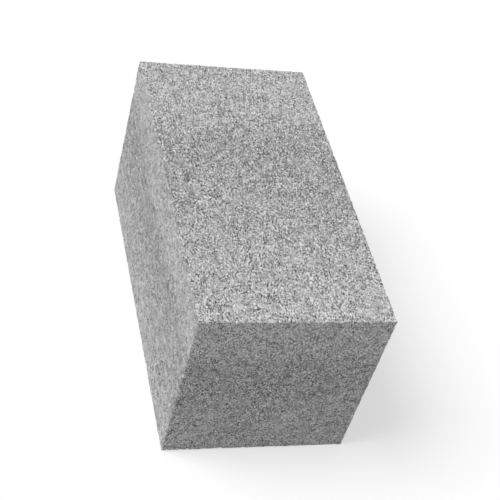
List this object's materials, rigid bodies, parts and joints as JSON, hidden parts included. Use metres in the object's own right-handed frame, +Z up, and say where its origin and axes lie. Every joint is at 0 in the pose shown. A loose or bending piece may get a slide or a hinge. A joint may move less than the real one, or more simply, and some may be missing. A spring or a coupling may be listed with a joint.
{
  "type": "solid concrete block",
  "caption": "Solid rectangular concrete masonry block, twice as long as it is wide and high, with plain flat faces and slightly eased arrises, lying on its bed face.",
  "frame": {"origin": "centre of the lower bed face, where the block rests", "axes": "+X along the length towards one head face, +Y across the width, which is the thickness of the wall, +Z up through the upper bed face"},
  "size_m": [0.4, 0.2, 0.2],
  "materials": {
    "concrete": "matt, fine open-textured pressed concrete in a neutral light grey"
  },
  "bodies": {
    "root": {"block": "concrete"}
  },
  "joints": []
}
